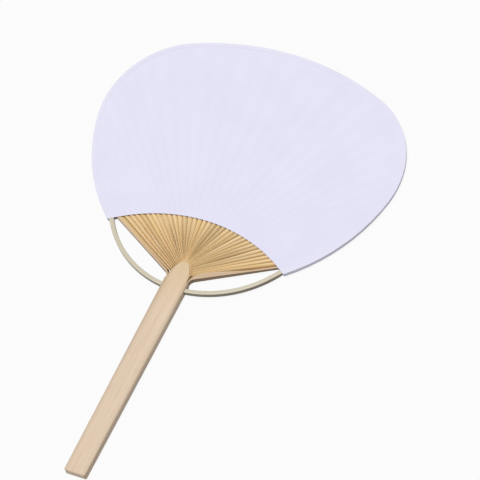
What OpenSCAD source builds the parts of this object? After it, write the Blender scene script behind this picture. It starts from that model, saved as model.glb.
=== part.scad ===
// Flat bamboo uchiwa (paddle fan): a flat bamboo handle whose head is split into ribs,
// a bent bow through the handle, two sheets of paper and a folded paper edge binding.
// The fan lies on its back: +Y runs from the butt of the handle to the top of the paper,
// +X to the right, +Z up. The origin is the middle of the fan's outline, at the height
// of the handle's underside. All lengths are in millimetres and all angles in degrees.

/* [Overall] */
// Length from the butt of the handle to the top of the paper
fan_length = 375; // [368:1:385]
// Greatest width of the paper
paper_width = 245; // [236:1:252]

/* [Handle] */
// Width of the handle at its butt
butt_w = 17.6; // [15:0.2:18]
// Width of the handle at the head, where the ribs begin
head_w = 19.2; // [18:0.2:20]
// Thickness of the handle
handle_t = 5.8; // [5.4:0.1:7]
// Ease on the long edges of the handle
handle_ease = 0.5; // [0.3:0.1:1]
// Cut on the corners of the butt
butt_ease = 1; // [0.5:0.1:2]
// Distance from the butt to the roots of the two guard ribs
guard_root = 171; // [170:0.5:172]
// Distance from the butt to the top of the solid head, on the centre line
head_top = 187.5; // [186:0.5:189]
// Height of the arch that the head ends in
head_rise = 16; // [12:0.5:18]
// Half of the width of that arch at its foot
arch_half = 9.1; // [8.9:0.1:10]
// Exponent of the arch: 2 is a parabola, more is squarer
arch_power = 2.2; // [2:0.1:3]

/* [Bow] */
// Radius of the bow's centre line
bow_r = 84.5; // [82:0.5:86]
// Distance from the butt to the centre of the bow's circle
bow_centre = 249.3; // [248:0.1:251]
// Width of the bow in the plane of the fan
bow_w = 3.4; // [3:0.1:4]
// Depth of the bow, square to the fan
bow_t = 4.2; // [3.6:0.1:4.4]
// Radius of the bow's long edges
bow_edge_r = 0.7; // [0.5:0.05:1.2]
// Angle from the handle to each end of the bow
bow_reach = 58.8; // [58:0.1:59.5]
// Angle from the handle to where each end is whittled thinner
whittle_from = 50; // [45:1:54]
// Half thickness of the whittled ends, under the paper
tip_half = 1.25; // [1:0.05:1.3]

/* [Ribs] */
// Number of ribs between the two guard ribs
rib_count = 34; // [24:2:40]
// Width of each slat, which is its height at the handle
slat_w = 4.6; // [4:0.1:5]
// Thickness of each slat
slat_t = 0.42; // [0.35:0.01:0.46]
// Spacing of the roots across the head
root_pitch = 0.48; // [0.45:0.01:0.5]
// Angle between neighbours, seen from the centre of the paper's lower edge
rib_angle = 1.77; // [1.7:0.01:1.78]
// Angle of the guard ribs, seen from the same centre
guard_angle = 30.7; // [30.7:0.1:31.5]
// How far a rib runs straight before and after its bend
bend = 2; // [1.5:0.1:3.5]
// Lean of the middle ribs where they leave the bend, as a sine
lean_middle = 0.14; // [0:0.01:0.2]
// Extra lean of the outer ribs there, as a sine
lean_outer = 0.36; // [0:0.01:0.4]
// Width of a slat at its tip
tip_w = 3; // [2:0.1:4]
// Thickness of a slat at its tip
tip_t = 0.35; // [0.2:0.05:0.4]
// How far short of the rim the ribs end
rib_short = 2.5; // [1:0.5:4]
// Half width of a guard rib at its root
guard_root_half = 0.5; // [0.4:0.05:0.6]
// Reach of a guard rib's outer side from its centre line
guard_outer = 0.7; // [0.6:0.05:1.2]
// Reach of a guard rib's inner side from its centre line
guard_inner = 0.8; // [0.6:0.05:0.85]
// Reach of the edge of that side which follows the lean of the slats, where it is widest
guard_wide = 3.5; // [1:0.1:3.6]

/* [Paper] */
// Distance from the butt to the widest place
wide_at = 295.5; // [294:0.5:298]
// Radius of the shoulders
shoulder_r = 69.4; // [66:0.2:72]
// Radius of the flanks
flank_r = 138; // [137:1:150]
// Angle below the widest place at which a flank begins
flank_start = 10.7; // [8:0.1:13]
// Radius of the lower edge over the ribs
lower_r = 131; // [128:1:134]
// Distance from the butt to the middle of the lower edge
lower_at = 224.4; // [223:0.2:227]
// Thickness of a sheet
sheet_t = 0.2; // [0.1:0.05:0.3]
// Height of a sheet's inner face above the middle plane, at the middle of the lower edge
sheet_low = 1.28; // [1.2:0.02:1.4]
// Height of a sheet's inner face above the middle plane, at the top of the fan
sheet_high = 0.45; // [0.4:0.01:0.6]
// Clearance under a sheet, for the paste
paste = 0.04; // [0.02:0.01:0.05]
// Width of the edge binding on each face
binding_w = 3; // [2:0.5:5]
// Thickness of the edge binding
binding_t = 0.12; // [0.08:0.01:0.2]

/* [Hidden] */
$fn = 48;

// Colours
bamboo_handle = [0.87, 0.78, 0.67];
bamboo_rib = [0.88, 0.76, 0.56];
bamboo_bow = [0.83, 0.79, 0.70];
paper_white = [0.90, 0.89, 0.97];
binding_white = [0.89, 0.89, 0.93];

// Values that follow from the sizes above
k_max = (rib_count - 1) / 2;
inner_half = rib_count * root_pitch / 2;
guard_x = inner_half + 0.05 + guard_root_half;
guard_kink = 4;
guard_shoulder = 2.4;
guard_wide_from = 5;
guard_wide_to = 16;
guard_wide_end = 40;
guard_wide_loss = 0.3;
open_rings = 8;
lower_centre = lower_at - lower_r;
sheet_slope = (sheet_low - sheet_high) / (fan_length - lower_at);
sheet_angle = atan(sheet_slope);
bow_fn = 240;
taper = atan((head_w - butt_w) / 2 / guard_root);
span = 600;

// Outline of the paper, three arcs a side, each tangent to the next
shoulder = [paper_width / 2 - shoulder_r, wide_at];
rise = fan_length - wide_at;
top_r = (pow(shoulder[0], 2) + pow(rise, 2) - pow(shoulder_r, 2)) / (2 * (rise - shoulder_r));
top_centre = [0, fan_length - top_r];
top_end = atan2(shoulder[1] - top_centre[1], shoulder[0]);
flank = shoulder - (flank_r - shoulder_r) * [cos(flank_start), -sin(flank_start)];
flank_end = 50;

rib_names = [for (i = [1:rib_count + 2]) str("rib_", i < 10 ? "0" : "", i)];

function mix(a, b, t) = a + (b - a) * t;
function unit(v) = v / norm(v);
function right_of(d) = [d[1], -d[0]];

// Height of the head's arch at x
function arch(x) = head_top - head_rise * pow(abs(x) / arch_half, arch_power);

// Height of a sheet's inner face, at a distance from the butt
function sheet_in(y) = sheet_low - sheet_slope * (y - lower_at);

// A slat's place on the paper's lower edge, its root, its bend and its direction
function low_point(a) = [lower_r * sin(a), lower_centre + lower_r * cos(a)];
function root(k) = [k * root_pitch, arch(k * root_pitch)];
function kink(k) = root(k) + [0, bend];
function heading(k) = unit(low_point(rib_angle * k) - kink(k));

// Distance along a ray to a circle around it
function reach(p, d, c, r) =
    let (m = p - c, b = m * d)
    -b + sqrt(b * b - m * m + r * r);

// Distance along a ray from inside the paper to its rim
function rim_reach(p, d) =
    let (
        side = d[0] < 0 ? -1 : 1,
        s = [side * shoulder[0], shoulder[1]],
        f = [side * flank[0], flank[1]],
        a = reach(p, d, top_centre, top_r),
        at_top = p + a * d - top_centre,
        c = reach(p, d, f, flank_r),
        at_flank = p + c * d - f
    )
    atan2(at_top[1], abs(at_top[0])) >= top_end ? a
    : atan2(at_flank[1], side * at_flank[0]) <= -flank_start ? c
    : reach(p, d, s, shoulder_r);

// Lean of a slat that just fits between the sheets, for its width, thickness and half height
function fitted_lean(w, t, half) = atan2(t, w) + acos(2 * half / norm([w, t]));

// Solid that passes through a list of rings of four points. Opposite sides are cut along the
// same diagonal, so a thin slat keeps its thickness where it twists.
module sweep(rings) {
    n = len(rings[0]);
    last = len(rings) - 1;
    polyhedron(
        points = [for (ring = rings) each ring],
        faces = concat(
            [[for (j = [0:n - 1]) j]],
            [for (i = [0:last - 1], j = [0:n - 1])
                let (a = i * n + j, b = i * n + (j + 1) % n)
                each j < n / 2
                    ? [[a, a + n, b + n], [a, b + n, b]]
                    : [[a, a + n, b], [a + n, b + n, b]]],
            [[for (j = [n - 1:-1:0]) last * n + j]]
        ),
        convexity = 6
    );
}

// Puts what is drawn from the butt, on the middle plane, into the part's frame
module in_frame() {
    translate([0, -fan_length / 2, handle_t / 2]) children();
}

// Cross-section of a slat at p, running along d, leaning with its left edge high
function slat_ring(p, d, w, t, lean) =
    let (
        r = right_of(d),
        high = w / 2 * [-r[0] * sin(lean), -r[1] * sin(lean), cos(lean)],
        wide = t / 2 * [r[0] * cos(lean), r[1] * cos(lean), sin(lean)],
        c = [p[0], p[1], 0]
    )
    [c - high - wide, c - high + wide, c + high + wide, c + high - wide];

// Root of a slat, cut to the facet of the arch it stands on
function slat_root(k) =
    let (
        x = k * root_pitch,
        left = arch(x - root_pitch / 2),
        right = arch(x + root_pitch / 2),
        tilt = (right - left) / root_pitch * slat_t / 2,
        y = (left + right) / 2
    )
    [
        [x - slat_t / 2, y - tilt, -slat_w / 2], [x + slat_t / 2, y + tilt, -slat_w / 2],
        [x + slat_t / 2, y + tilt, slat_w / 2], [x - slat_t / 2, y - tilt, slat_w / 2]
    ];

// All rings of a slat: root, bend, open run, the part between the sheets, and the tip
function slat_rings(k) =
    let (
        d = heading(k),
        a = root(k),
        b = kink(k),
        c = b + d * bend,
        e = low_point(rib_angle * k),
        hidden = rim_reach(e, d) - rib_short,
        tip = e + d * hidden,
        first = asin(lean_middle + lean_outer * pow(k / k_max, 2)),
        at_paper = fitted_lean(slat_w, slat_t, sheet_in(e[1]) - paste)
    )
    concat(
        [slat_root(k)],
        [for (i = [1:3])
            let (t = i / 3, p = mix(mix(a, b, t), mix(b, c, t), t))
            slat_ring(p, unit(mix([0, 1], d, t)), slat_w, slat_t, first * pow(t, 1.5))],
        [for (i = [1:open_rings])
            let (t = i / open_rings)
            slat_ring(
                mix(c, e, t), d, slat_w, slat_t,
                i == open_rings ? at_paper : asin(mix(sin(first), sin(at_paper), t))
            )],
        [for (i = [1:3])
            let (
                t = i / 3,
                p = mix(e, tip, t),
                w = mix(slat_w, tip_w, t),
                thick = mix(slat_t, tip_t, t)
            )
            slat_ring(p, d, w, thick, fitted_lean(w, thick, sheet_in(p[1]) - paste))]
    );

// Cross-section of the right guard rib: its outer side is upright, and its inner side reaches
// one way at the bottom and another at the top
function guard_ring(p, d, low, high, outer, half) =
    let (r = right_of(d))
    [
        [p[0] - r[0] * low, p[1] - r[1] * low, -half],
        [p[0] + r[0] * outer, p[1] + r[1] * outer, -half],
        [p[0] + r[0] * outer, p[1] + r[1] * outer, half],
        [p[0] - r[0] * high, p[1] - r[1] * high, half]
    ];

// A guard rib on the right, with its wide edge on top or underneath
module guard(wide_on_top) {
    a = [guard_x, guard_root];
    b = a + [0, guard_kink];
    e = low_point(guard_angle);
    d = unit(e - b);
    c = b + d * guard_kink;
    tip = e + d * (rim_reach(e, d) - rib_short);
    half = slat_w / 2;
    at_paper = sheet_in(e[1]) - paste;
    run = norm(e - c);
    spread = [
        [guard_wide_from, guard_wide],
        [guard_wide_to, guard_wide - guard_wide_loss],
        [guard_wide_end, guard_inner],
        [run, guard_inner]
    ];
    low = wide_on_top ? 0 : 1;
    sweep(concat(
        [guard_ring(a, [0, 1], guard_root_half, guard_root_half, guard_root_half, half)],
        [for (i = [1:4])
            let (
                t = i / 4,
                p = mix(mix(a, b, t), mix(b, c, t), t),
                inner = mix(guard_root_half, guard_inner, pow(t, 3)),
                wide = mix(guard_root_half, guard_shoulder, pow(t, 3)),
                outer = mix(guard_root_half, guard_outer, t)
            )
            guard_ring(p, unit(mix([0, 1], d, t)), mix(inner, wide, low), mix(wide, inner, low),
                outer, half)],
        [for (place = spread)
            let (t = place[0] / run, inner = guard_inner, wide = place[1])
            guard_ring(mix(c, e, t), d, mix(inner, wide, low), mix(wide, inner, low),
                guard_outer, mix(half, at_paper, t))],
        [guard_ring(tip, d, guard_inner, guard_inner, guard_outer, sheet_in(tip[1]) - paste)]
    ));
}

module rib(i) {
    color(bamboo_rib) in_frame() {
        if (i == 1) mirror([1, 0, 0]) guard(false);
        if (i > 1 && i < rib_count + 2) sweep(slat_rings(i - 2 - k_max));
        if (i == rib_count + 2) guard(true);
    }
}

// Plan of the handle and its head, with a level seat for each guard rib
module handle_plan() {
    half_butt = butt_w / 2;
    half_head = head_w / 2;
    polygon(concat(
        [[butt_ease - half_butt, 0], [half_butt - butt_ease, 0], [half_butt, butt_ease]],
        [[half_head, guard_root], [inner_half, guard_root]],
        [for (i = [0:rib_count]) let (x = inner_half - i * root_pitch) [x, arch(x)]],
        [[-inner_half, guard_root], [-half_head, guard_root], [-half_butt, butt_ease]]
    ));
}

// Bars that plane the four long edges and the two edges of the butt
module handle_edges() {
    cut = handle_ease * sqrt(2);
    for (side = [-1, 1], face = [-1, 1])
        translate([side * butt_w / 2, 0, face * handle_t / 2])
            rotate([0, 0, -side * taper])
                rotate([0, 45, 0])
                    cube([cut, span, cut], center = true);
    for (face = [-1, 1])
        translate([0, 0, face * handle_t / 2])
            rotate([45, 0, 0])
                cube([span, cut, cut], center = true);
}

// Cross-section of the bow: a rectangle with round corners
module bow_section() {
    square([bow_w - 2 * bow_edge_r, bow_t], center = true);
    square([bow_w, bow_t - 2 * bow_edge_r], center = true);
    for (x = [-1, 1], z = [-1, 1])
        translate([x * (bow_w / 2 - bow_edge_r), z * (bow_t / 2 - bow_edge_r)])
            circle(r = bow_edge_r);
}

module bow_arc(reach_angle) {
    translate([0, bow_centre, 0]) rotate([0, 0, -90 - reach_angle])
        rotate_extrude(angle = 2 * reach_angle, $fn = bow_fn)
            translate([bow_r, 0]) bow_section();
}

// Blocks that whittle one end of the bow to its half thickness under the paper
module whittle() {
    run = bow_r * (bow_reach - whittle_from) * PI / 180;
    slope = atan((bow_t / 2 - tip_half) / run);
    for (face = [-1, 1])
        translate([0, bow_centre, 0])
            rotate([0, 0, whittle_from - 90])
                translate([bow_r, 0, face * bow_t / 2])
                    rotate([face * -slope, 0, 0])
                        translate([0, 2 * run, face * bow_t])
                            cube([4 * bow_w, 4 * run, 2 * bow_t], center = true);
}

module handle() {
    color(bamboo_handle) in_frame() difference() {
        translate([0, 0, -handle_t / 2]) linear_extrude(handle_t) handle_plan();
        handle_edges();
        bow_arc(15);
    }
}

module bow() {
    color(bamboo_bow) in_frame() difference() {
        bow_arc(bow_reach);
        whittle();
        mirror([1, 0, 0]) whittle();
    }
}

// One side of the outline, from the top down to below the corner, moved outward by some way
function side_points(side, out) = concat(
    [for (i = [0:8])
        let (a = mix(90, top_end, i / 8))
        [side * (top_r + out) * cos(a), top_centre[1] + (top_r + out) * sin(a)]],
    [for (i = [1:20])
        let (a = mix(top_end, -flank_start, i / 20))
        [side * (shoulder[0] + (shoulder_r + out) * cos(a)), wide_at + (shoulder_r + out) * sin(a)]],
    [for (i = [1:10])
        let (a = mix(-flank_start, -flank_end, i / 10))
        [side * (flank[0] + (flank_r + out) * cos(a)), flank[1] + (flank_r + out) * sin(a)]]
);

// Outline of the paper, with its lower edge cut round
module outline(out) {
    left = side_points(-1, out);
    difference() {
        polygon(concat(side_points(1, out), [for (i = [len(left) - 1:-1:1]) left[i]]));
        translate([0, lower_centre]) circle(r = lower_r, $fn = 360);
    }
}

// The space under a plane that leans with a sheet, at some height over its inner face
module under(height) {
    translate([0, lower_at, sheet_low + height])
        rotate([-sheet_angle, 0, 0])
            translate([-span / 2, -span / 2, -span])
                cube(span);
}

// The wedge between that plane and its mirror image below
module wedge(height) {
    intersection() {
        under(height);
        mirror([0, 0, 1]) under(height);
    }
}

module sheet() {
    difference() {
        intersection() {
            linear_extrude(handle_t) outline(0);
            under(sheet_t);
        }
        under(0);
    }
}

module front_paper() {
    color(paper_white) in_frame() sheet();
}

module back_paper() {
    color(paper_white) in_frame() mirror([0, 0, 1]) sheet();
}

module edge_binding() {
    color(binding_white) in_frame() difference() {
        intersection() {
            translate([0, 0, -handle_t / 2]) linear_extrude(handle_t) difference() {
                outline(binding_t);
                outline(-binding_w);
            }
            wedge(sheet_t + binding_t);
        }
        intersection() {
            translate([0, 0, -handle_t]) linear_extrude(2 * handle_t) outline(0);
            wedge(sheet_t);
        }
    }
}

handle();
bow();
for (i = [1:rib_count + 2])
    rib(i);
back_paper();
front_paper();
edge_binding();
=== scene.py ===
import math
import random
import bpy
import bmesh
from mathutils import Vector, Matrix


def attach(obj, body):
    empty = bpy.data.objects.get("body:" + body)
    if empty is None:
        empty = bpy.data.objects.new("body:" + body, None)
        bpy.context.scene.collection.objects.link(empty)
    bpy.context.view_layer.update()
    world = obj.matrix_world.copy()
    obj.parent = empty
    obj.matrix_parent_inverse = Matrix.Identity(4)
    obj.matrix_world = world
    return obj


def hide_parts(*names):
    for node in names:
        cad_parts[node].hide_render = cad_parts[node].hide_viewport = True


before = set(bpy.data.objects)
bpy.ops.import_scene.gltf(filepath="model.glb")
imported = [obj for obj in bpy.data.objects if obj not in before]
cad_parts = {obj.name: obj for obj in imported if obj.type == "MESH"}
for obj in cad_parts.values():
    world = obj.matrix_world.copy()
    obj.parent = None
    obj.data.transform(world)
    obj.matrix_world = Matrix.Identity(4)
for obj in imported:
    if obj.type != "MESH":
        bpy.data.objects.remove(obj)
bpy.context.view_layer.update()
scene = bpy.context.scene
rng = random.Random(7)

# Sizes of the fan in millimetres, as the solids have them
LENGTH = 375.0
HANDLE_T = 5.8
PAPER_W = 245.0
HEAD_TOP, HEAD_RISE, ARCH_HALF, ARCH_POWER = 187.5, 16.0, 9.1, 2.2
BOW_R, BOW_CENTRE, BOW_W, BOW_T = 84.5, 249.3, 3.4, 4.2
BOW_EDGE, BOW_REACH, WHITTLE_FROM, TIP_HALF = 0.7, 58.8, 50.0, 1.25
RIBS, SLAT_W, SLAT_T, ROOT_PITCH = 34, 4.6, 0.42, 0.48
RIB_ANGLE, GUARD_ANGLE, BEND = 1.77, 30.7, 2.0
LEAN_MIDDLE, LEAN_OUTER = 0.14, 0.36
TIP_W, TIP_T, RIB_SHORT = 3.0, 0.35, 2.5
GUARD_ROOT, GUARD_KINK, GUARD_ROOT_HALF = 171.0, 4.0, 0.5
GUARD_OUTER, GUARD_INNER, GUARD_WIDE, GUARD_SHOULDER = 0.7, 0.8, 3.5, 2.4
WIDE_FROM, WIDE_TO, WIDE_END, WIDE_LOSS = 5.0, 16.0, 40.0, 0.3
WIDE_AT, SHOULDER_R, FLANK_R, FLANK_START = 295.5, 69.4, 138.0, 10.7
LOWER_R, LOWER_AT = 131.0, 224.4
SHEET_T, SHEET_LOW, SHEET_HIGH, PASTE = 0.2, 1.28, 0.45, 0.04
ROOT_CLEAR = 0.02

K_MAX = (RIBS - 1) / 2
INNER_HALF = RIBS * ROOT_PITCH / 2
GUARD_X = INNER_HALF + 0.05 + GUARD_ROOT_HALF
LOWER_CENTRE = LOWER_AT - LOWER_R
SLOPE = (SHEET_LOW - SHEET_HIGH) / (LENGTH - LOWER_AT)
SHOULDER_X = PAPER_W / 2 - SHOULDER_R
RISE = LENGTH - WIDE_AT
TOP_R = (SHOULDER_X ** 2 + RISE ** 2 - SHOULDER_R ** 2) / (2 * (RISE - SHOULDER_R))
TOP_C = Vector((0, LENGTH - TOP_R))
TOP_END = math.degrees(math.atan2(WIDE_AT - TOP_C.y, SHOULDER_X))
FLANK_C = Vector((
    SHOULDER_X - (FLANK_R - SHOULDER_R) * math.cos(math.radians(FLANK_START)),
    WIDE_AT + (FLANK_R - SHOULDER_R) * math.sin(math.radians(FLANK_START)),
))


def mix(a, b, t):
    return a + (b - a) * t


def smooth(t):
    t = min(max(t, 0.0), 1.0)
    return t * t * (3 - 2 * t)


def right_of(d):
    return Vector((d.y, -d.x))


def place(p, z):
    """A point of the plan, at a height over the middle plane, in the frame's metres."""
    return Vector((p.x, p.y - LENGTH / 2, z + HANDLE_T / 2)) / 1000


def arch(x):
    return HEAD_TOP - HEAD_RISE * (abs(x) / ARCH_HALF) ** ARCH_POWER


def sheet_in(y):
    return SHEET_LOW - SLOPE * (y - LOWER_AT)


def low_point(degrees):
    a = math.radians(degrees)
    return Vector((LOWER_R * math.sin(a), LOWER_CENTRE + LOWER_R * math.cos(a)))


def reach(p, d, c, r):
    m = p - c
    b = m.dot(d)
    return -b + math.sqrt(b * b - m.dot(m) + r * r)


def rim_reach(p, d):
    side = -1 if d.x < 0 else 1
    a = reach(p, d, TOP_C, TOP_R)
    top = p + d * a - TOP_C
    if math.degrees(math.atan2(top.y, abs(top.x))) >= TOP_END:
        return a
    f = Vector((side * FLANK_C.x, FLANK_C.y))
    c = reach(p, d, f, FLANK_R)
    low = p + d * c - f
    if math.degrees(math.atan2(low.y, side * low.x)) <= -FLANK_START:
        return c
    return reach(p, d, Vector((side * SHOULDER_X, WIDE_AT)), SHOULDER_R)


def fitted_lean(w, t, half):
    return math.atan2(t, w) + math.acos(2 * half / math.hypot(w, t))


def rib_line(k):
    """Root, kink, start of the straight run, place on the lower edge and heading of a slat."""
    a = Vector((k * ROOT_PITCH, arch(k * ROOT_PITCH)))
    b = a + Vector((0, BEND))
    e = low_point(RIB_ANGLE * k)
    d = (e - b).normalized()
    return a, b, b + d * BEND, e, d


def new_object(name, bm):
    mesh = bpy.data.meshes.new(name)
    bmesh.ops.recalc_face_normals(bm, faces=bm.faces)
    bm.to_mesh(mesh)
    bm.free()
    for poly in mesh.polygons:
        poly.use_smooth = True
    obj = bpy.data.objects.new(name, mesh)
    scene.collection.objects.link(obj)
    return obj


def swept(name, rings, grain, height=None):
    """A closed solid through rings of points. grain gives each ring its way along, in metres,
    and height gives each point of a ring its place from the low edge to the high edge."""
    bm = bmesh.new()
    along = bm.verts.layers.float_vector.new("grain")
    rise = bm.verts.layers.float.new("rise")
    rows = []
    for i, ring in enumerate(rings):
        row = []
        for j, p in enumerate(ring):
            v = bm.verts.new(p)
            v[along] = Vector((grain[i], j / len(ring), 0))
            v[rise] = height[j] if height else 1.0
            row.append(v)
        rows.append(row)
    n = len(rings[0])
    for r0, r1 in zip(rows, rows[1:]):
        for j in range(n):
            bm.faces.new((r0[j], r0[(j + 1) % n], r1[(j + 1) % n], r1[j]))
    bm.faces.new(rows[0])
    bm.faces.new(list(reversed(rows[-1])))
    return new_object(name, bm)


def sharp_smooth(obj, degrees=35):
    """Smooth shading that keeps the edges sharper than an angle."""
    limit = math.radians(degrees)
    bm = bmesh.new()
    bm.from_mesh(obj.data)
    for edge in bm.edges:
        if len(edge.link_faces) == 2 and edge.calc_face_angle(0) > limit:
            edge.smooth = False
    bm.to_mesh(obj.data)
    bm.free()


# Materials
WHITE = (1, 1, 1)


def new_material(name, roughness, specular=0.35):
    material = bpy.data.materials.new(name)
    material.use_nodes = True
    shader = material.node_tree.nodes["Principled BSDF"]
    shader.inputs["Roughness"].default_value = roughness
    shader.inputs["Specular IOR Level"].default_value = specular
    return material


def ramp(tree, source, stops):
    node = tree.nodes.new("ShaderNodeValToRGB")
    elements = node.color_ramp.elements
    while len(elements) < len(stops):
        elements.new(0.5)
    for element, (position, colour) in zip(elements, stops):
        element.position = position
        element.color = (*colour, 1)
    tree.links.new(source, node.inputs["Fac"])
    return node.outputs["Color"]


def noise(tree, vector, scale, detail=3.0, rough=0.6):
    node = tree.nodes.new("ShaderNodeTexNoise")
    node.inputs["Scale"].default_value = scale
    node.inputs["Detail"].default_value = detail
    node.inputs["Roughness"].default_value = rough
    tree.links.new(vector, node.inputs["Vector"])
    return node.outputs["Fac"]


def mapped(tree, vector, scale, location=(0, 0, 0)):
    node = tree.nodes.new("ShaderNodeMapping")
    node.inputs["Scale"].default_value = scale
    node.inputs["Location"].default_value = location
    tree.links.new(vector, node.inputs["Vector"])
    return node.outputs["Vector"]


def object_coords(tree):
    return tree.nodes.new("ShaderNodeTexCoord").outputs["Object"]


def grain_coords(tree):
    node = tree.nodes.new("ShaderNodeAttribute")
    node.attribute_name = "grain"
    return node.outputs["Vector"]


def blend_colour(tree, kind, factor, a, b):
    node = tree.nodes.new("ShaderNodeMix")
    node.data_type = "RGBA"
    node.blend_type = kind
    for value, socket in ((factor, node.inputs[0]), (a, node.inputs[6]), (b, node.inputs[7])):
        if hasattr(value, "is_output"):
            tree.links.new(value, socket)
        elif isinstance(value, tuple):
            socket.default_value = (*value, 1)
        else:
            socket.default_value = value
    return node.outputs[2]


def bump(tree, height, strength, distance):
    node = tree.nodes.new("ShaderNodeBump")
    node.inputs["Strength"].default_value = strength
    node.inputs["Distance"].default_value = distance
    tree.links.new(height, node.inputs["Height"])
    tree.links.new(node.outputs["Normal"], tree.nodes["Principled BSDF"].inputs["Normal"])


FLECK = (0.72, 0.6, 0.45)
OWN_DARK, OWN_YELLOW = (0.80, 0.77, 0.70), (1, 0.96, 0.86)
LINE_SHARE, FLECK_SHARE = 0.55, 0.6
GRAIN_BUMP, GRAIN_DEPTH = 0.25, 0.0002


def bamboo(
    name, light, deep, fibre, coords, along, across, roughness=0.5, per_piece=0.0, low_shade=None
):
    """Bamboo: long fibres, short dark vessel marks and a slow drift of tone. per_piece is how
    much each piece has a tone of its own, and the last argument paints shade that darkens its low
    edge."""
    material = new_material(name, roughness)
    tree = material.node_tree
    base = coords(tree)
    fine = noise(tree, mapped(tree, base, (across, along, across)), 1.0, 4.0, 0.65)
    slow_scale = (across * 0.12, along * 0.6, across * 0.12)
    slow = noise(tree, mapped(tree, base, slow_scale, (3, 1, 2)), 1.0, 2.0)
    mark_scale = (across * 0.8, along * 4, across * 0.8)
    marks = noise(tree, mapped(tree, base, mark_scale, (9, 4, 1)), 1.0, 2.0)
    tone = ramp(tree, slow, [(0.3, deep), (0.7, light)])
    lines = ramp(tree, fine, [(0.32, fibre), (0.55, WHITE)])
    flecks = ramp(tree, marks, [(0.27, FLECK), (0.36, WHITE)])
    colour = blend_colour(tree, "MULTIPLY", LINE_SHARE, tone, lines)
    colour = blend_colour(tree, "MULTIPLY", FLECK_SHARE, colour, flecks)
    # Painted shade: darker towards the low edge, following the rise attribute
    if low_shade:
        rise = tree.nodes.new("ShaderNodeAttribute")
        rise.attribute_name = "rise"
        tone, start, end = low_shade
        shade = ramp(tree, rise.outputs["Fac"], [(start, tone), (end, WHITE)])
        colour = blend_colour(tree, "MULTIPLY", 1.0, colour, shade)
    if per_piece:
        info = tree.nodes.new("ShaderNodeObjectInfo")
        stops = [(0.0, OWN_DARK), (0.5, WHITE), (1.0, OWN_YELLOW)]
        own = ramp(tree, info.outputs["Random"], stops)
        colour = blend_colour(tree, "MULTIPLY", per_piece, colour, own)
    tree.links.new(colour, tree.nodes["Principled BSDF"].inputs["Base Color"])
    bump(tree, fine, GRAIN_BUMP, GRAIN_DEPTH)
    return material


HANDLE_LIGHT, HANDLE_DEEP = (0.76, 0.60, 0.45), (0.68, 0.53, 0.395)
RIB_LIGHT, RIB_DEEP = (0.95, 0.73, 0.43), (0.86, 0.64, 0.34)
# The guards' own bamboo colours, darkened further with painted shade
GUARD_LIGHT, GUARD_DEEP = (0.68, 0.50, 0.34), (0.57, 0.41, 0.27)
BOW_LIGHT, BOW_DEEP = (0.70, 0.65, 0.53), (0.58, 0.52, 0.40)
HANDLE_FIBRE, RIB_FIBRE = (0.80, 0.73, 0.62), (0.78, 0.68, 0.5)
GUARD_FIBRE, BOW_FIBRE = (0.82, 0.72, 0.6), (0.85, 0.82, 0.7)
# Painted shade on the low edge and the shaded sides: its tone, and where on the way up it starts
# to fade and is gone
RIB_LOW_SHADE = ((0.58, 0.47, 0.36), 0.3, 0.78)
GUARD_LOW_SHADE = ((0.56, 0.53, 0.48), 0.86, 0.96)
BOW_LOW_SHADE = ((0.42, 0.38, 0.35), 0.84, 0.95)
PAPER_COLOUR, BINDING_COLOUR = (0.80, 0.79, 0.94), (0.80, 0.79, 0.92)

handle_bamboo = bamboo(
    "handle_bamboo", HANDLE_LIGHT, HANDLE_DEEP, HANDLE_FIBRE, object_coords,
    along=14.0, across=1500.0, roughness=0.42,
)
rib_bamboo = bamboo(
    "rib_bamboo", RIB_LIGHT, RIB_DEEP, RIB_FIBRE, grain_coords,
    along=30.0, across=9.0, per_piece=0.8, low_shade=RIB_LOW_SHADE,
)
guard_bamboo = bamboo(
    "guard_bamboo", GUARD_LIGHT, GUARD_DEEP, GUARD_FIBRE, grain_coords,
    along=30.0, across=9.0, low_shade=GUARD_LOW_SHADE,
)
bow_bamboo = bamboo(
    "bow_bamboo", BOW_LIGHT, BOW_DEEP, BOW_FIBRE, grain_coords,
    along=25.0, across=7.0, roughness=0.38, low_shade=BOW_LOW_SHADE,
)

PAPER_ROUGH, PAPER_SHINE = 0.85, 0.2
FIBRE_SCALE, CLOUD_SCALE = 900, 35
CLOUD_TONE, SPECK_TONE = (0.975, 0.975, 0.985), (0.965, 0.965, 0.97)
OVER_RIB_TONE = (0.98, 0.977, 0.975)
SPECK_SHARE, PAPER_BUMP, PAPER_DEPTH = 0.7, 0.15, 0.0001


def paper_material(name, colour):
    material = new_material(name, PAPER_ROUGH, PAPER_SHINE)
    tree = material.node_tree
    base = object_coords(tree)
    fibres = noise(tree, mapped(tree, base, (FIBRE_SCALE,) * 3), 1.0, 5.0, 0.7)
    clouds = noise(tree, mapped(tree, base, (CLOUD_SCALE,) * 3), 1.0, 3.0, 0.5)
    tint = ramp(tree, clouds, [(0.35, CLOUD_TONE), (0.65, WHITE)])
    specks = ramp(tree, fibres, [(0.3, SPECK_TONE), (0.5, WHITE)])
    mixed = blend_colour(tree, "MULTIPLY", 1.0, colour, tint)
    mixed = blend_colour(tree, "MULTIPLY", SPECK_SHARE, mixed, specks)
    node = tree.nodes.new("ShaderNodeAttribute")
    node.attribute_name = "over_rib"
    shade = ramp(tree, node.outputs["Fac"], [(0.0, WHITE), (1.0, OVER_RIB_TONE)])
    mixed = blend_colour(tree, "MULTIPLY", 1.0, mixed, shade)
    tree.links.new(mixed, tree.nodes["Principled BSDF"].inputs["Base Color"])
    bump(tree, fibres, PAPER_BUMP, PAPER_DEPTH)
    return material


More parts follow.
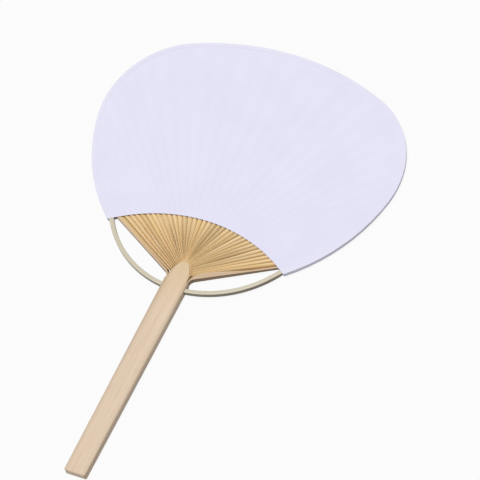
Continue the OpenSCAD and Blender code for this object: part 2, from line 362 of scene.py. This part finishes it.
def tone_from(material, axis, absolute, start, end, tone):
    """Multiplies a colour by a tone that grows along one of the part's own axes."""
    tree = material.node_tree
    socket = tree.nodes["Principled BSDF"].inputs["Base Color"]
    plain = socket.links[0].from_socket
    split = tree.nodes.new("ShaderNodeSeparateXYZ")
    tree.links.new(object_coords(tree), split.inputs[0])
    value = split.outputs[axis]
    if absolute:
        size = tree.nodes.new("ShaderNodeMath")
        size.operation = "ABSOLUTE"
        tree.links.new(value, size.inputs[0])
        value = size.outputs[0]
    place_along = tree.nodes.new("ShaderNodeMapRange")
    place_along.inputs["From Min"].default_value = start
    place_along.inputs["From Max"].default_value = end
    tree.links.new(value, place_along.inputs["Value"])
    tinted = blend_colour(tree, "MULTIPLY", 1.0, plain, tone)
    tree.links.new(blend_colour(tree, "MIX", place_along.outputs["Result"], plain, tinted), socket)


# The split head is yellower than the handle beneath it, and the sides are darker with painted
# shade
HEAD_TONE, SIDE_SHADE = (0.97, 0.93, 0.78), (0.80, 0.79, 0.77)
tone_from(handle_bamboo, "Y", absolute=False, start=-0.045, end=0.0, tone=HEAD_TONE)
# Painted shade: the handle darkens towards both sides
tone_from(handle_bamboo, "X", absolute=True, start=0.0066, end=0.0089, tone=SIDE_SHADE)
sheet_paper = paper_material("sheet_paper", PAPER_COLOUR)
binding_paper = paper_material("binding_paper", BINDING_COLOUR)


# Slats: the same lines as the solids, with softened edges and a little play of the hand
EASE_W, EASE_T = 0.14, 0.09
BEND_STEPS, RUN_STEPS, HIDDEN_STEPS = 6, 14, 8
BEND_GRAIN, GRAIN_SPAN = 0.004, 5
PLAY, TWIST = 0.3, 7
SHADE_LEFT, SHADE_RIGHT = 0.15, 1.3
SLAT_HEIGHTS = (0.0, 0.04, 0.04, 0.0, 1.0, 0.96, 0.96, 1.0)


def slat_section(p, d, w, t, lean):
    r = right_of(d)
    high = Vector((-r.x * math.sin(lean), -r.y * math.sin(lean), math.cos(lean)))
    wide = Vector((r.x * math.cos(lean), r.y * math.cos(lean), math.sin(lean)))
    c = Vector((p.x, p.y, 0))
    points = []
    for sh, sw, flip in ((-1, -1, 0), (-1, 1, 1), (1, 1, 0), (1, -1, 1)):
        a = c + high * (sh * (w / 2 - EASE_W)) + wide * (sw * t / 2)
        b = c + high * (sh * w / 2) + wide * (sw * (t / 2 - EASE_T))
        points += [b, a] if flip else [a, b]
    return [place(Vector((q.x, q.y)), q.z) for q in points]


def slat(index, k):
    a, b, c, e, d = rib_line(k)
    hidden = rim_reach(e, d) - RIB_SHORT
    tip = e + d * hidden
    first = math.asin(LEAN_MIDDLE + LEAN_OUTER * (k / K_MAX) ** 2)
    at_paper = fitted_lean(SLAT_W, SLAT_T, sheet_in(e.y) - PASTE)
    rings, grain = [], []
    drift = rng.uniform(-PLAY, PLAY)
    twist = math.radians(rng.uniform(-TWIST, TWIST))
    if k == -K_MAX:
        # The first slat lies close to its guard, so that the floor doesn't show between them
        drift, twist = -PLAY, 0.0
    seed = rng.uniform(0, GRAIN_SPAN)
    up = Vector((0, 1))
    rings.append(slat_section(a + Vector((0, ROOT_CLEAR)), up, SLAT_W, SLAT_T, 0.0))
    grain.append(seed)
    for i in range(1, BEND_STEPS + 1):
        t = i / BEND_STEPS
        p = mix(mix(a, b, t), mix(b, c, t), t)
        way = mix(up, d, t).normalized()
        rings.append(slat_section(p, way, SLAT_W, SLAT_T, first * t ** 1.5))
        grain.append(seed + BEND_GRAIN * t)
    run = (e - c).length
    for i in range(1, RUN_STEPS + 1):
        t = i / RUN_STEPS
        free = math.sin(math.pi * t) ** 2
        lean = math.asin(mix(math.sin(first), math.sin(at_paper), t)) + twist * free
        p = mix(c, e, t) + right_of(d) * (drift * free)
        rings.append(slat_section(p, d, SLAT_W, SLAT_T, lean))
        grain.append(seed + BEND_GRAIN + run * t / 1000)
    for i in range(1, HIDDEN_STEPS + 1):
        t = i / HIDDEN_STEPS
        p = mix(e, tip, t)
        w, thick = mix(SLAT_W, TIP_W, t), mix(SLAT_T, TIP_T, t)
        lean = fitted_lean(w, thick, sheet_in(p.y) - PASTE)
        rings.append(slat_section(p, d, w, thick, lean))
        grain.append(seed + BEND_GRAIN + (run + hidden * t) / 1000)
    # Painted shade: each slat darkens towards its low edge, much on the right bank and little on
    # the left
    shade_depth = mix(SHADE_LEFT, SHADE_RIGHT, smooth((k / K_MAX + 1) / 2))
    heights = [1 - shade_depth * (1 - h) for h in SLAT_HEIGHTS]
    piece = swept("slat_%02d" % index, rings, grain, heights)
    sharp_smooth(piece)
    piece.data.materials.append(rib_bamboo)
    node = "rib_%02d" % index
    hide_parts(node)
    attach(piece, "root")


# Guards: an upright outer side, and an inner side that leans as the slats do
GUARD_BEND_STEPS, GUARD_RUN_STEPS, GUARD_TIP_STEPS = 8, 20, 4
GUARD_EASE, GUARD_END_EASE, GUARD_CLEAR, GUARD_GRAIN = 0.2, 0.15, 0.02, 0.008
# Heights round the guard's section, which put painted shade on all but its top
GUARD_HEIGHTS = (0.06, 0.0, 0.0, 0.06, 0.94, 1.0, 1.0, 0.94)


def guard_section(p, d, low, high, outer, half, ease):
    r = right_of(d)
    corners = [(-low, -half), (outer, -half), (outer, half), (-high, half)]
    points = []
    for j, (x, z) in enumerate(corners):
        sx, sz = (1 if x > 0 else -1), (1 if z > 0 else -1)
        slant = (low - high) / (2 * half) if sx < 0 else 0
        flat, upright = (x - sx * ease, z), (x - sz * ease * slant, z - sz * ease)
        for qx, qz in ((flat, upright) if j % 2 else (upright, flat)):
            points.append((qx, qz))
    return [place(p + r * qx, qz) for qx, qz in points]


def guard(index, side):
    a = Vector((GUARD_X, GUARD_ROOT))
    b = a + Vector((0, GUARD_KINK))
    e = low_point(GUARD_ANGLE)
    d = (e - b).normalized()
    c = b + d * GUARD_KINK
    run = (e - c).length
    hidden = rim_reach(e, d) - RIB_SHORT
    tip = e + d * hidden
    half = SLAT_W / 2
    at_paper = sheet_in(e.y) - PASTE
    up = Vector((0, 1))

    def section(p, d, inner, wide, outer, half, ease=GUARD_EASE):
        low, high = (inner, wide) if side > 0 else (wide, inner)
        return guard_section(p, d, low, high, outer, half, ease)

    root = a + Vector((0, ROOT_CLEAR))
    thin = GUARD_ROOT_HALF
    rings = [section(root, up, thin, thin, thin, half, GUARD_END_EASE)]
    grain = [0.0]
    for i in range(1, GUARD_BEND_STEPS + 1):
        t = i / GUARD_BEND_STEPS
        p = mix(mix(a, b, t), mix(b, c, t), t)
        inner = mix(thin, GUARD_INNER, t ** 3)
        wide = mix(thin, GUARD_SHOULDER, t ** 3)
        outer = mix(thin, GUARD_OUTER, t)
        rings.append(section(p, mix(up, d, t).normalized(), inner, wide, outer, half))
        grain.append(GUARD_GRAIN * t)
    spread = [
        (0, GUARD_SHOULDER),
        (WIDE_FROM, GUARD_WIDE),
        (WIDE_TO, GUARD_WIDE - WIDE_LOSS),
        (WIDE_END, GUARD_INNER),
        (run, GUARD_INNER),
    ]
    for i in range(1, GUARD_RUN_STEPS + 1):
        s = run * i / GUARD_RUN_STEPS
        for (s0, w0), (s1, w1) in zip(spread, spread[1:]):
            if s0 <= s <= s1 + 1e-6:
                wide = mix(w0, w1, (s - s0) / (s1 - s0)) - GUARD_CLEAR
        tall = mix(half, at_paper, s / run)
        rings.append(section(c + d * s, d, GUARD_INNER, wide, GUARD_OUTER, tall))
        grain.append(GUARD_GRAIN + s / 1000)
    for i in range(1, GUARD_TIP_STEPS + 1):
        t = i / GUARD_TIP_STEPS
        p = mix(e, tip, t)
        tall = sheet_in(p.y) - PASTE
        rings.append(section(p, d, GUARD_INNER, GUARD_INNER, GUARD_OUTER, tall, GUARD_END_EASE))
        grain.append(GUARD_GRAIN + (run + hidden * t) / 1000)
    if side < 0:
        rings = [[Vector((-q.x, q.y, q.z)) for q in reversed(ring)] for ring in rings]
    heights = GUARD_HEIGHTS if side > 0 else GUARD_HEIGHTS[::-1]
    piece = swept("guard_slat_%02d" % index, rings, grain, heights)
    sharp_smooth(piece)
    piece.data.materials.append(guard_bamboo)
    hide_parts("rib_%02d" % index)
    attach(piece, "root")


guard(1, -1)
for i in range(RIBS):
    slat(i + 2, i - K_MAX)
guard(RIBS + 2, 1)


# Bow: a bent strip with rounded edges, whittled thinner towards both ends
BOW_CORNER, BOW_STEPS, BOW_SHARP = 5, 132, 40


def bow_corner_height(step):
    """Height over the middle plane of one of the points round the bow's section."""
    turn = math.radians(90 * (step + 0.5) / BOW_CORNER)
    side = 1 if step < 2 * BOW_CORNER else -1
    return side * (BOW_T / 2 - BOW_EDGE) + BOW_EDGE * math.sin(turn)


def bow_section(degrees):
    run = BOW_R * math.radians(BOW_REACH - WHITTLE_FROM)
    past = max(0.0, abs(degrees) - WHITTLE_FROM)
    cut = math.tan(math.radians(past)) * BOW_R
    slope = (BOW_T / 2 - TIP_HALF) / run
    limit = BOW_T / 2 - slope * cut
    a = math.radians(degrees)
    points = []
    for step in range(4 * BOW_CORNER):
        turn = math.radians(90 * (step + 0.5) / BOW_CORNER)
        sx = 1 if math.cos(turn) > 0 else -1
        out = BOW_R + sx * (BOW_W / 2 - BOW_EDGE) + BOW_EDGE * math.cos(turn)
        z = max(-limit, min(limit, bow_corner_height(step)))
        points.append(place(Vector((out * math.sin(a), BOW_CENTRE - out * math.cos(a))), z))
    return points


bow_angles = [BOW_REACH * (2 * i / BOW_STEPS - 1) for i in range(BOW_STEPS + 1)]
# Heights round the bow's section, which put painted shade on its sides and underside
bow_heights = [bow_corner_height(step) / BOW_T + 0.5 for step in range(4 * BOW_CORNER)]
bow_rings = [bow_section(a) for a in bow_angles]
bow_grain = [math.radians(a) * BOW_R / 1000 for a in bow_angles]
bow = swept("bent_bow", bow_rings, bow_grain, bow_heights)
sharp_smooth(bow, BOW_SHARP)
bow.data.materials.append(bow_bamboo)
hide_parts("bow")
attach(bow, "root")

# Handle and edge binding: the solids themselves, with their grain and paper
for node, material in (("handle", handle_bamboo), ("edge_binding", binding_paper)):
    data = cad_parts[node].data
    data.materials.clear()
    data.materials.append(material)


# Sheets: pasted over the ribs, so that each rib shows as a faint ridge
PER_RIB, SIDE_RAYS, FLANK_RAYS, ROWS = 8, 6, 12, 26
GUARD_PLACE, RIDGE_END, CALM_FROM = 1.06, 1.6, 0.8
SAG, SKIN, HOLD, CALM, SHEET_SHARP = 0.06, 0.012, 9, 0.3, 50
EDGE_SAG, RIM_LOSS, RIM_RIDGE = 0.25, 0.4, 0.5
LAST_RAY = 0.985


def sheet_rays():
    """Pairs of points from the lower edge to the rim, each with its place among the ribs."""
    rays = []
    corner = corner_angles()
    guard_line = guard_ray()
    edge_k = K_MAX + GUARD_PLACE
    count = RIBS * PER_RIB
    for i in range(-count // 2, count // 2 + 1):
        k = K_MAX * 2 * i / count
        e, d = rib_line(k)[3:]
        rays.append((e, e + d * rim_reach(e, d), k))
    last = rays[-1]
    side_rays = []
    for i in range(1, SIDE_RAYS + 1):
        t = i / SIDE_RAYS
        low = low_point(mix(RIB_ANGLE * K_MAX, GUARD_ANGLE, t))
        d = mix((last[1] - last[0]).normalized(), guard_line, t).normalized()
        side_rays.append((low, low + d * rim_reach(low, d), mix(K_MAX, edge_k, t)))
    rim = side_rays[-1][1] - FLANK_C
    start = math.atan2(rim.y, rim.x)
    for i in range(1, FLANK_RAYS + 1):
        t = min(i / FLANK_RAYS, LAST_RAY)
        low = low_point(mix(GUARD_ANGLE, corner[0], t))
        a = mix(start, corner[1], t)
        out = FLANK_C + Vector((math.cos(a), math.sin(a))) * FLANK_R
        side_rays.append((low, out, edge_k + t * 3))
    mirrored = [(Vector((-p.x, p.y)), Vector((-q.x, q.y)), -k) for p, q, k in reversed(side_rays)]
    return mirrored + rays + side_rays


def guard_ray():
    a = Vector((GUARD_X, GUARD_ROOT + GUARD_KINK))
    return (low_point(GUARD_ANGLE) - a).normalized()


def corner_angles():
    """Where the flank meets the lower edge: its angle about each of the two centres."""
    low, high = GUARD_ANGLE, 45.0
    for _ in range(50):
        middle = (low + high) / 2
        if (low_point(middle) - FLANK_C).length > FLANK_R:
            high = middle
        else:
            low = middle
    p = low_point(low) - FLANK_C
    return low, math.atan2(p.y, p.x)


def ridge(k):
    """1 over a rib and 0 halfway between two."""
    if abs(k) > K_MAX + RIDGE_END:
        return 0.0
    near = k - (round(k - 0.5) + 0.5)
    return max(0.0, math.cos(math.pi * near)) ** 2


def sheet_piece(name, node, side):
    rays = sheet_rays()
    bm = bmesh.new()
    over = bm.verts.layers.float.new("over_rib")
    outer, inner = [], []
    for low, out, k in rays:
        top_row, under_row = [], []
        for j in range(ROWS + 1):
            t = j / ROWS
            p = mix(low, out, t)
            base = sheet_in(p.y)
            hold = smooth(t * HOLD) * smooth((1 - t) * HOLD)
            drop = SAG * (1 - ridge(k)) * mix(EDGE_SAG, 1, hold) * (1 - t * RIM_LOSS)
            if abs(k) > K_MAX + CALM_FROM:
                drop *= CALM
            z = base + SHEET_T - SKIN - drop
            v = bm.verts.new(place(p, side * z))
            v[over] = ridge(k) * mix(1.0, RIM_RIDGE, t)
            top_row.append(v)
            w = bm.verts.new(place(p, side * (z - SHEET_T + 2 * SKIN)))
            w[over] = v[over]
            under_row.append(w)
        outer.append(top_row)
        inner.append(under_row)
    for layer in (outer, inner):
        for r0, r1 in zip(layer, layer[1:]):
            for j in range(ROWS):
                bm.faces.new((r0[j], r1[j], r1[j + 1], r0[j + 1]))
    for i in range(len(outer) - 1):
        bm.faces.new((outer[i][0], outer[i + 1][0], inner[i + 1][0], inner[i][0]))
        bm.faces.new((outer[i][-1], outer[i + 1][-1], inner[i + 1][-1], inner[i][-1]))
    for o, n in ((outer[0], inner[0]), (outer[-1], inner[-1])):
        for j in range(ROWS):
            bm.faces.new((o[j], o[j + 1], n[j + 1], n[j]))
    piece = new_object(name, bm)
    sharp_smooth(piece, SHEET_SHARP)
    piece.data.materials.append(sheet_paper)
    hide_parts(node)
    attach(piece, "root")


sheet_piece("front_sheet", "front_paper", 1)
sheet_piece("back_sheet", "back_paper", -1)

# Camera: the photograph's view, nearly parallel, turned about its own axis
RIGHT = Vector((0.87636, 0.43062, -0.21575))
UP = Vector((-0.27576, 0.81585, 0.50828))
BACK = RIGHT.cross(UP)
LENS = 800.0
SENSOR = 36.0
VIEW_W = 0.3513
CLIP_NEAR, CLIP_FAR = 0.1, 60
AIM = Vector((0.0299, 0.0302, 0.0044))
distance = VIEW_W * LENS / SENSOR
camera_data = bpy.data.cameras.new("camera")
camera_data.lens = LENS
camera_data.sensor_width = SENSOR
camera_data.clip_start = CLIP_NEAR
camera_data.clip_end = CLIP_FAR
camera = bpy.data.objects.new("camera", camera_data)
turn = Matrix((RIGHT, UP, BACK)).transposed().to_4x4()
camera.matrix_world = Matrix.Translation(AIM + BACK * distance) @ turn
scene.collection.objects.link(camera)
scene.camera = camera


# Light: a soft key from the upper left of the picture and a pale room
def sun(name, direction, strength, spread):
    data = bpy.data.lights.new(name, "SUN")
    data.energy = strength
    data.angle = math.radians(spread)
    obj = bpy.data.objects.new(name, data)
    obj.matrix_world = direction.normalized().to_track_quat("Z", "Y").to_matrix().to_4x4()
    scene.collection.objects.link(obj)


KEY_WAY, KEY_STRENGTH, KEY_SPREAD = Vector((-0.14, 0.05, 0.99)), 2.03, 14
sun("key", KEY_WAY, KEY_STRENGTH, KEY_SPREAD)

world = bpy.data.worlds.new("world")
scene.world = world
world.use_nodes = True
tree = world.node_tree
background = tree.nodes["Background"]
path = tree.nodes.new("ShaderNodeLightPath")


def either(tree, a, b):
    node = tree.nodes.new("ShaderNodeMath")
    node.operation = "MAXIMUM"
    tree.links.new(a, node.inputs[0])
    tree.links.new(b, node.inputs[1])
    return node.outputs[0]


ROOM = 0.36
seen = either(tree, path.outputs["Is Camera Ray"], path.outputs["Is Glossy Ray"])
seen = either(tree, seen, path.outputs["Is Transmission Ray"])
strength = tree.nodes.new("ShaderNodeMapRange")
strength.inputs["To Min"].default_value = ROOM
strength.inputs["To Max"].default_value = 1.0
tree.links.new(seen, strength.inputs["Value"])
tree.links.new(strength.outputs["Result"], background.inputs["Strength"])
background.inputs["Color"].default_value = (1, 1, 1, 1)

# Floor: pale, white where the camera sees it, with the fan's own soft shadow kept
FLOOR_GAP, FLOOR_SIZE, FLOOR_TONE, FLOOR_ROUGH, FLOOR_SHARE = 0.0002, 6, 0.6, 0.9, 0.92
bm = bmesh.new()
bmesh.ops.create_grid(bm, x_segments=1, y_segments=1, size=FLOOR_SIZE)
floor = new_object("floor", bm)
floor.location.z = -FLOOR_GAP
floor_material = bpy.data.materials.new("floor")
floor_material.use_nodes = True
tree = floor_material.node_tree
shader = tree.nodes["Principled BSDF"]
shader.inputs["Base Color"].default_value = (FLOOR_TONE, FLOOR_TONE, FLOOR_TONE, 1)
shader.inputs["Roughness"].default_value = FLOOR_ROUGH
glow = tree.nodes.new("ShaderNodeEmission")
glow.inputs["Color"].default_value = (1, 1, 1, 1)
path = tree.nodes.new("ShaderNodeLightPath")
seen = either(tree, path.outputs["Is Camera Ray"], path.outputs["Is Glossy Ray"])
seen = either(tree, seen, path.outputs["Is Transmission Ray"])
share = tree.nodes.new("ShaderNodeMapRange")
share.inputs["To Min"].default_value = 0.0
share.inputs["To Max"].default_value = FLOOR_SHARE
tree.links.new(seen, share.inputs["Value"])
mixer = tree.nodes.new("ShaderNodeMixShader")
tree.links.new(share.outputs["Result"], mixer.inputs[0])
tree.links.new(shader.outputs["BSDF"], mixer.inputs[1])
tree.links.new(glow.outputs["Emission"], mixer.inputs[2])
tree.links.new(mixer.outputs["Shader"], tree.nodes["Material Output"].inputs["Surface"])
floor.data.materials.append(floor_material)

scene.view_settings.view_transform = "Standard"
